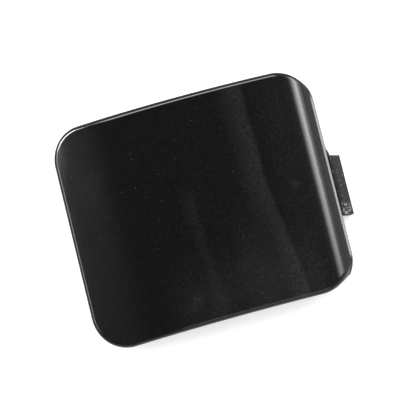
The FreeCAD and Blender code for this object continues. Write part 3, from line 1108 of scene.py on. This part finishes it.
class ShaderTree(Tree):
    """The tree of one finish: a Principled shader, places on the piece and sized textures."""

    DOT_SIZES = (0.3, 0.7)
    DOT_CORE = 0.3

    def __init__(self, name: str) -> None:
        """Start a material with an empty tree."""
        self.material = bpy.data.materials.new(name)
        super().__init__(emptied(self.material))
        self.place = self.get("ShaderNodeTexCoord", key="Object")

    def length(self, vector: Wire) -> Wire:
        """A vector's length."""
        return self.vector("LENGTH", vector, result="Value")

    def varied(self, noise: Wire, share: float) -> Wire:
        """A factor near 1, which a noise from 0 to 1 moves by up to a share either way."""
        return noise * (2 * share) + (1.0 - share)

    def noise(self, place: Wire, size: float, detail: float = 2.0, roughness: float = 0.5) -> Wire:
        """Smooth noise from 0 to 1 whose features have a size in metres."""
        inputs = {"Vector": place, "Scale": 1.0 / size, "Detail": detail, "Roughness": roughness}
        return self.get("ShaderNodeTexNoise", inputs)

    def dots(self, place: Wire, dust: Dust, flat: bool = False) -> Wire:
        """Small round dots, one in some of the cells, each of its own size.

        Args:
            place: The place.
            dust: The dots' sizes, number and shade.
            flat: Whether the dots lie in the XY plane instead of through the whole space.

        Returns:
            How much paler the dots make the surface.
        """
        made = self.node(
            "ShaderNodeTexVoronoi",
            {"Vector": place, "Scale": 1.0 / dust.cell},
            voronoi_dimensions="2D" if flat else "3D",
        )
        chance, size, _ = self.parts(self.out(made, "Color"))
        there = self.math("LESS_THAN", chance, dust.share)
        least, spread = self.DOT_SIZES
        away = self.out(made, "Distance") / ((size * spread + least) * (dust.radius / dust.cell))
        return there * self.ramp(away, self.DOT_CORE, 1.0, dust.shade, 0.0)

    def grey(self, level: Wire, tint: Colour) -> Wire:
        """A colour from a level and a tint near white."""
        return self.xyz(*(level * share for share in tint))

    def bump(self, height: Wire, depth: float) -> Wire:
        """The normal of a surface with relief of a depth in metres."""
        inputs = {"Height": height, "Distance": depth, "Strength": 1.0}
        return self.get("ShaderNodeBump", inputs)

    def finish(self, specular: float, **inputs: Any) -> bpy.types.Material:
        """End the tree in a Principled shader.

        Args:
            specular: The shader's Specular IOR Level, the same all over.
            **inputs: Its other inputs, with underscores for the spaces in their names.

        Returns:
            The material.
        """
        given = {key.replace("_", " "): value for key, value in inputs.items()}
        shader = self.get("ShaderNodeBsdfPrincipled", {"Specular IOR Level": specular, **given})
        self.node("ShaderNodeOutputMaterial", {"Surface": shader})
        return self.material


@dataclass(frozen=True)
class SatinFront:
    """The front's satin black plastic, with painted reflections, dust, fine texture and bright rim.
    The reflections are pale streaks and patches painted into its colour.

    Towards the rolled side, along dull_side, the gloss gets duller and the texture coarser.
    """

    black: float = 0.0041
    tint: Colour = (0.995, 1.0, 0.99)
    specular: float = 0.5
    # Painted reflections: pale streaks in the base colour, standing in for light reflected in the
    # satin face.
    painted_streaks: tuple[PaintedStreak, ...] = (
        PaintedStreak(*mm(21.8, 5.8, 9.5, 1.6), 0.007),
        PaintedStreak(*mm(44.0, 0.0, 10.0, 2.0), 0.0026, 12.0 * MM),
        PaintedStreak(*mm(-3.2, 3.0, 4.4, 2.4), 0.0029, starts=mm(9.0, 1.0)),
        PaintedStreak(*mm(15.5, 2.0, 7.0, 4.0), 0.0026, 4.0 * MM, starts=mm(6.0, -20.0)),
        PaintedStreak(*mm(32.0, 0.0, 14.0, 5.0), 0.0036, 40.0 * MM, starts=mm(-10.0, -33.0)),
        PaintedStreak(*mm(-35.0, 0.0, 4.0, 10.0), 0.0045, 20.0 * MM, starts=mm(-60.0, 30.0)),
    )
    # Painted reflections: soft pale patches in the base colour.
    painted_patches: tuple[PaintedPatch, ...] = (
        PaintedPatch(*mm(32.0, -0.6, 7.0, 3.2), math.radians(-20.0), 0.0055),
        PaintedPatch(*mm(-8.5, -30.0, 9.0, 7.0), math.radians(60.0), 0.0045),
        PaintedPatch(*mm(9.0, -22.5, 8.0, 6.0), 0.0, 0.0022),
        PaintedPatch(*mm(-2.0, 3.0, 9.0, 5.0), math.radians(80.0), 0.0022),
        PaintedPatch(*mm(-36.0, 18.0, 20.0, 15.0), math.radians(80.0), 0.0025),
    )
    specks: tuple[tuple[float, ...], ...] = (
        mm(-41.0, 22.0),
        mm(-18.6, 23.6),
        mm(-18.6, 21.6),
        mm(-4.0, 17.8),
        mm(-10.9, 14.4),
        mm(-19.6, 12.1),
        mm(-24.7, 12.0),
        mm(-12.0, 5.5),
        mm(3.9, 28.6),
        mm(13.6, 8.6),
        mm(20.5, 24.5),
        mm(11.7, -13.0),
        mm(37.1, -2.3),
    )
    speck_size: float = 0.62 * MM
    speck_shade: float = 0.035
    dusts: tuple[Dust, ...] = (
        Dust(3.0 * MM, 0.28 * MM, 0.36, 0.012),
        Dust(1.2 * MM, 0.24 * MM, 0.5, 0.0075),
    )
    mottle: float = 1.05
    mottle_size: float = 0.75 * MM
    cloud: float = 0.35
    cloud_size: float = 9.0 * MM
    wander: float = 4.0 * MM
    wander_size: float = 22.5 * MM
    streak_wander: float = 0.4
    roughness: float = 0.075
    roughness_spread: float = 0.02
    dull_side: tuple[float, ...] = mm(34.0, 39.0)
    dulled: float = 0.14
    coarsened: float = 4.0
    texture_size: float = 0.35 * MM
    texture_depth: float = 0.0004 * MM

    def build(self, panel: PanelSizes) -> bpy.types.Material:
        """Make the material.

        Args:
            panel: The panel's sizes, which say where its lower right rim runs.

        Returns:
            The front's material.
        """
        tree = ShaderTree("satin_front")
        x, y, _ = tree.parts(tree.place)
        cloud = tree.noise(tree.place, self.cloud_size, detail=3.0)
        wander = (tree.noise(tree.place, self.wander_size, detail=1.0) - 0.5) * self.wander
        flat = tree.xyz(x, y, 0.0)
        strayed = tree.vector("ADD", flat, tree.xyz(wander, wander, 0.0))
        # Painted reflections: the streaks and patches are added to the base colour.
        painted_reflection: Value = 0.0
        for layer in self.painted_streaks:
            painted_reflection = layer.add(tree, x + wander * self.streak_wander, y) + painted_reflection
        for painted_patch in self.painted_patches:
            painted_reflection = painted_patch.add(tree, strayed) + painted_reflection
        grain = tree.noise(tree.place, self.mottle_size, roughness=0.7)
        painted_reflection = painted_reflection * tree.varied(cloud, self.cloud)
        level = (painted_reflection + self.black) * tree.varied(grain, self.mottle)
        for dust in self.dusts:
            level = level + tree.dots(flat, dust, flat=True)
        for speck_x, speck_y in self.specks:
            away = tree.length(tree.vector("SUBTRACT", flat, (speck_x, speck_y, 0.0)))
            level = level + tree.ramp(away, 0.0, self.speck_size / 2, self.speck_shade, 0.0)
        rough = (cloud + grain - 1.0) * self.roughness_spread + self.roughness
        dull = tree.ramp(x, *self.dull_side, smooth=True)
        rough = rough + dull * self.dulled
        texture = tree.noise(tree.place, self.texture_size, detail=3.0)
        relief = tree.bump(texture * (dull * self.coarsened + 1.0), self.texture_depth)
        return tree.finish(
            self.specular,
            Base_Color=tree.grey(level, self.tint),
            Roughness=rough,
            Normal=RimGlint().tilt(tree, panel, relief),
        )


@dataclass(frozen=True)
class RimGlint:
    """The narrow ledge along the rolled side's lower edge, which shows as a thin bright line."""

    low: float = 0.8 * MM
    high: float = 2.6 * MM
    low_ease: float = 0.25 * MM
    high_ease: float = 1.5 * MM
    lean: float = math.radians(34.0)
    heading: float = math.radians(8.0)
    margin: float = 12.0 * MM
    fade: float = 9.0 * MM
    starts: tuple[float, ...] = mm(-4.0, -1.2)

    def tilt(self, tree: ShaderTree, panel: PanelSizes, normal: Wire) -> Wire:
        """Turn the normal up where the ledge runs.

        Args:
            tree: The finish's tree.
            panel: The panel's sizes.
            normal: The surface's normal elsewhere.

        Returns:
            The normal with the ledge.
        """
        x, y, z = tree.parts(tree.place)
        low, high = panel.rim_z + self.low, panel.rim_z + self.high
        above = tree.ramp(z, low, low + self.low_ease, smooth=True)
        below = tree.ramp(z, high, high + self.high_ease, 1.0, 0.0, smooth=True)
        reach = panel.right_height / 2 - self.margin
        off = tree.math("ABSOLUTE", y)
        inside = tree.ramp(off, reach, reach + self.fade, 1.0, 0.0, smooth=True)
        near = tree.ramp(x, *(panel.right_edge + start for start in self.starts), smooth=True)
        share = above * below * inside * near
        level = Vector((math.cos(self.heading), math.sin(self.heading), 0.0)) * math.sin(self.lean)
        up = (level.x, level.y, math.cos(self.lean))
        turned = tree.node("ShaderNodeMix", data_type="VECTOR")
        for key, value in (("Factor_Float", share), ("A_Vector", normal), ("B_Vector", up)):
            tree.feed(next(s for s in turned.inputs if s.identifier == key), value)
        return tree.vector("NORMALIZE", tree.out(turned, 1))


@dataclass(frozen=True)
class RawPlastic:
    """Unpainted moulded plastic: dull and grainy, with pale specks and a scuff on the tongue.

    The specks are few where the panel shelters them, and a painted shade darkens the colour along
    the rim's edge, where the rim shades the tongue.
    """

    black: float = 0.021
    tint: Colour = (1.0, 1.0, 0.99)
    specular: float = 0.3
    grain_size: float = 0.5 * MM
    grain: float = 0.8
    grain_depth: float = 0.03 * MM
    cloud_size: float = 4.0 * MM
    cloud: float = 0.25
    specks: Dust = Dust(0.9 * MM, 0.32 * MM, 0.45, 0.26)
    sheltered: float = 0.05
    shelter: float = 1.0 * MM
    # Painted shade: the colour is darkened within this distance of the plane of the rim's edge,
    # where the rim shades the tongue.
    painted_shade_band: tuple[float, ...] = mm(0.46, 1.15)
    painted_crevice_shade: float = 0.2
    scuff_place: tuple[float, ...] = mm(44.0, -11.0, 4.6)
    scuff_reach: tuple[float, ...] = mm(1.08, 3.6)
    scuff_shade: float = 0.34
    patch_size: float = 0.9 * MM
    patch_band: tuple[float, float] = (0.5, 0.6)
    roughness: float = 0.68
    roughness_spread: float = 0.12

    def build(self, panel: PanelSizes) -> bpy.types.Material:
        """Make the material.

        Args:
            panel: The panel's sizes, which say where shade is painted on the tongue under the rim.

        Returns:
            The material of the tongue and of the hidden side.
        """
        tree = ShaderTree("raw_plastic")
        grain = tree.noise(tree.place, self.grain_size, detail=3.0, roughness=0.6)
        cloud = tree.noise(tree.place, self.cloud_size)
        level = tree.varied(grain, self.grain) * self.black * tree.varied(cloud, self.cloud)
        x, _, _ = tree.parts(tree.place)
        # Painted shade: clear is darker near the plane of the rim's edge, where the rim above
        # shades the tongue.
        off = tree.math("ABSOLUTE", x - panel.right_edge)
        clear = tree.ramp(off, *self.painted_shade_band, self.painted_crevice_shade, 1.0, smooth=True)
        start = panel.right_edge - self.shelter
        outside = tree.ramp(x, start, panel.right_edge, self.sheltered, 1.0)
        specks = tree.dots(tree.place, self.specks) * outside
        away = tree.length(tree.vector("SUBTRACT", tree.place, self.scuff_place))
        scuffed = tree.ramp(away, *self.scuff_reach, 1.0, 0.0, smooth=True)
        patches = tree.noise(tree.place, self.patch_size, detail=3.0, roughness=0.7)
        patchy = tree.ramp(patches, *self.patch_band)
        level = level * clear + specks + scuffed * patchy * self.scuff_shade
        return tree.finish(
            self.specular,
            Base_Color=tree.grey(level, self.tint),
            Roughness=(grain - 0.5) * self.roughness_spread + self.roughness,
            Normal=tree.bump(grain, self.grain_depth),
        )


@dataclass
class Cover:
    """The whole moulding: its pieces are built one by one and joined into one closed skin."""

    panel: PanelSizes = field(default_factory=PanelSizes)
    smooth_angle: float = math.radians(32.0)

    def build(self) -> None:
        """Build the pieces, join them and put them in the CAD solid's place."""
        front, raw = SatinFront().build(self.panel), RawPlastic().build(self.panel)
        wall = ReturnWall(self.panel, raw)
        body = CrownedPanel(self.panel, front, raw).build()
        parts = [wall.build(), RibGrid(wall).build(), SnapBarbs(wall).build()]
        parts += Tongue(wall, raw).build()
        for part in parts:
            LOG.info("%s: %d faces", part.name, len(part.data.polygons))
            union = body.modifiers.new(part.name, "BOOLEAN")
            union.operation = "UNION"
            union.solver = "MANIFOLD"
            union.object = part
        body.name = "moulded_cover"
        bake(body)
        for part in parts:
            bpy.data.objects.remove(part)
        body.data.shade_smooth()
        body.data.set_sharp_from_angle(angle=self.smooth_angle)
        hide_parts(CAD_NODE)
        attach(body, BODY)
        LOG.info("%s: %d faces", body.name, len(body.data.polygons))


@dataclass(frozen=True)
class Viewpoint:
    """The camera: where it stands from the cover, how it is turned and how long its lens is."""

    target: tuple[float, ...] = mm(-1.8124, 0.18, 19.2)
    tilt: float = math.radians(13.91)
    heading: float = math.radians(37.4)
    roll: float = math.radians(13.87)
    distance: float = 1.2
    lens: float = 316.6
    sensor: float = 36.0
    shift: tuple[float, float] = (0.02764, 0.00264)
    clip: tuple[float, float] = (0.05, 20.0)

    def build(self) -> None:
        """Make the scene's camera."""
        level = math.sin(self.tilt)
        across, along = level * math.cos(self.heading), -level * math.sin(self.heading)
        back = Vector((across, along, math.cos(self.tilt)))
        up = (Vector((0, 1, 0)) - back * back.y).normalized()
        right = up.cross(back)
        turned_right = right * math.cos(self.roll) - up * math.sin(self.roll)
        turned_up = right * math.sin(self.roll) + up * math.cos(self.roll)
        lens = bpy.data.cameras.new("camera")
        lens.lens = self.lens
        lens.sensor_width = self.sensor
        lens.shift_x, lens.shift_y = self.shift
        lens.clip_start, lens.clip_end = self.clip
        camera = put("camera", lens)
        turn = Matrix((turned_right, turned_up, back)).transposed().to_4x4()
        camera.matrix_world = Matrix.Translation(Vector(self.target) + back * self.distance) @ turn
        bpy.context.scene.camera = camera


class LampRole(Enum):
    """What a lamp is there for: to show in the gloss, to light matt surfaces, or both."""

    BOTH = "both"
    REFLECTION = "reflection"
    FILL = "fill"


@dataclass(frozen=True)
class Softbox:
    """A rectangular lamp that faces the cover.

    Its azimuth and elevation are in degrees, its distance and sides in metres, and its radiance in
    watts for each square metre and steradian.
    """

    name: str
    azimuth: float
    elevation: float
    distance: float
    width: float
    height: float
    radiance: float
    role: LampRole = LampRole.BOTH

    def build(self) -> None:
        """Hang the lamp."""
        lamp = bpy.data.lights.new(self.name, "AREA")
        lamp.shape = "RECTANGLE"
        lamp.size, lamp.size_y = self.width, self.height
        lamp.energy = self.radiance * math.pi * self.width * self.height
        made = put(self.name, lamp)
        a, e = math.radians(self.azimuth), math.radians(self.elevation)
        way = Vector((math.cos(e) * math.cos(a), math.cos(e) * math.sin(a), math.sin(e)))
        turn = way.to_track_quat("Z", "Y").to_matrix().to_4x4()
        made.matrix_world = Matrix.Translation(way * self.distance) @ turn
        made.visible_glossy = self.role is not LampRole.FILL
        made.visible_diffuse = self.role is not LampRole.REFLECTION


class RayKind(Enum):
    """The rays that are to see the table's own brightness: those that show it as a background."""

    CAMERA = "Is Camera Ray"
    GLOSSY = "Is Glossy Ray"
    TRANSMISSION = "Is Transmission Ray"


@dataclass(frozen=True)
class TableTop:
    """A matt white table that shows as pure white and still keeps the cover's soft shadow."""

    colour: Colour = (0.6, 0.6, 0.6)
    glow: float = 0.67
    reflected: float = 0.45

    def build(self) -> bpy.types.Material:
        """Make the material."""
        made = bpy.data.materials.new("table_top")
        tree = Tree(emptied(made))
        rays = tree.node("ShaderNodeLightPath")
        camera, glossy, passed = (tree.out(rays, kind.value) for kind in RayKind)
        mirrored = tree.math("MAXIMUM", glossy, passed)
        seen = camera + mirrored * self.reflected
        share = 1.0 - mirrored * (1.0 - self.reflected)
        colour = tree.xyz(*(share * part for part in self.colour))
        matt = tree.get("ShaderNodeBsdfDiffuse", {"Color": colour})
        glow = tree.get("ShaderNodeEmission", {"Strength": seen * self.glow})
        both = tree.get("ShaderNodeAddShader", {0: matt, 1: glow})
        tree.node("ShaderNodeOutputMaterial", {"Surface": both})
        return made


@dataclass(frozen=True)
class Room:
    """The dim room round the table: pale near the horizon and dark overhead."""

    horizon: float = 0.95
    walls: float = 0.2
    ceiling: float = 0.065
    horizon_band: tuple[float, float] = (0.08, 0.3)
    ceiling_band: tuple[float, float] = (0.74, 0.88)

    def build(self) -> bpy.types.World:
        """Make the world, whose brightness depends on height alone."""
        made = bpy.data.worlds.new("room")
        tree = Tree(emptied(made))
        _, _, up = tree.parts(tree.get("ShaderNodeTexCoord", key="Generated"))
        low = tree.ramp(up, *self.horizon_band, self.horizon, self.walls, smooth=True)
        high = tree.ramp(up, *self.ceiling_band, 1.0, self.ceiling / self.walls, smooth=True)
        shade = tree.get("ShaderNodeBackground", {"Strength": low * high})
        tree.node("ShaderNodeOutputWorld", {"Surface": shade})
        return made


@dataclass
class Studio:
    """The table, the lamps and the room."""

    floor_size: float = 8.0
    floor_z: float = -0.05 * MM
    lamps: tuple[Softbox, ...] = (
        Softbox("right_softbox", 23, 28.2, 0.75, 0.4, 0.14, 14.0),
        Softbox("right_low_softbox", 23, 15, 0.75, 0.4, 0.1, 4.5),
        Softbox("right_upper_softbox", 23, 37.6, 0.75, 0.4, 0.1, 9.4),
        Softbox("right_top_softbox", 23, 45.6, 0.75, 0.4, 0.09, 3.8),
        Softbox("far_softbox", 99, 54, 0.9, 0.86, 0.42, 7.8, LampRole.REFLECTION),
        Softbox("left_softbox", 163, 38.0, 0.9, 0.34, 0.08, 10.0),
        Softbox("corner_softbox", 150, 38, 0.8, 0.28, 0.14, 36.0, LampRole.REFLECTION),
        Softbox("near_softbox", -85, 42, 0.9, 0.8, 0.6, 0.75),
        Softbox("overhead_softbox", 125, 84, 1.2, 0.75, 0.34, 18.0, LampRole.FILL),
    )

    def build(self) -> None:
        """Lay the table, hang the lamps and set the view."""
        half = self.floor_size / 2
        mesh = bpy.data.meshes.new("floor")
        corners = [(-half, -half), (half, -half), (half, half), (-half, half)]
        mesh.from_pydata([(x, y, self.floor_z) for x, y in corners], [], [(0, 1, 2, 3)])
        mesh.materials.append(TableTop().build())
        floor = put("floor", mesh)
        for lamp in self.lamps:
            lamp.build()
        bpy.context.scene.world = Room().build()
        bpy.context.scene.view_settings.view_transform = "Standard"


def main() -> None:
    """Build the cover, the studio and the camera."""
    Cover().build()
    Studio().build()
    Viewpoint().build()


if __name__ == "__main__":
    logging.basicConfig(level=logging.INFO, format="%(name)s: %(message)s")
    main()
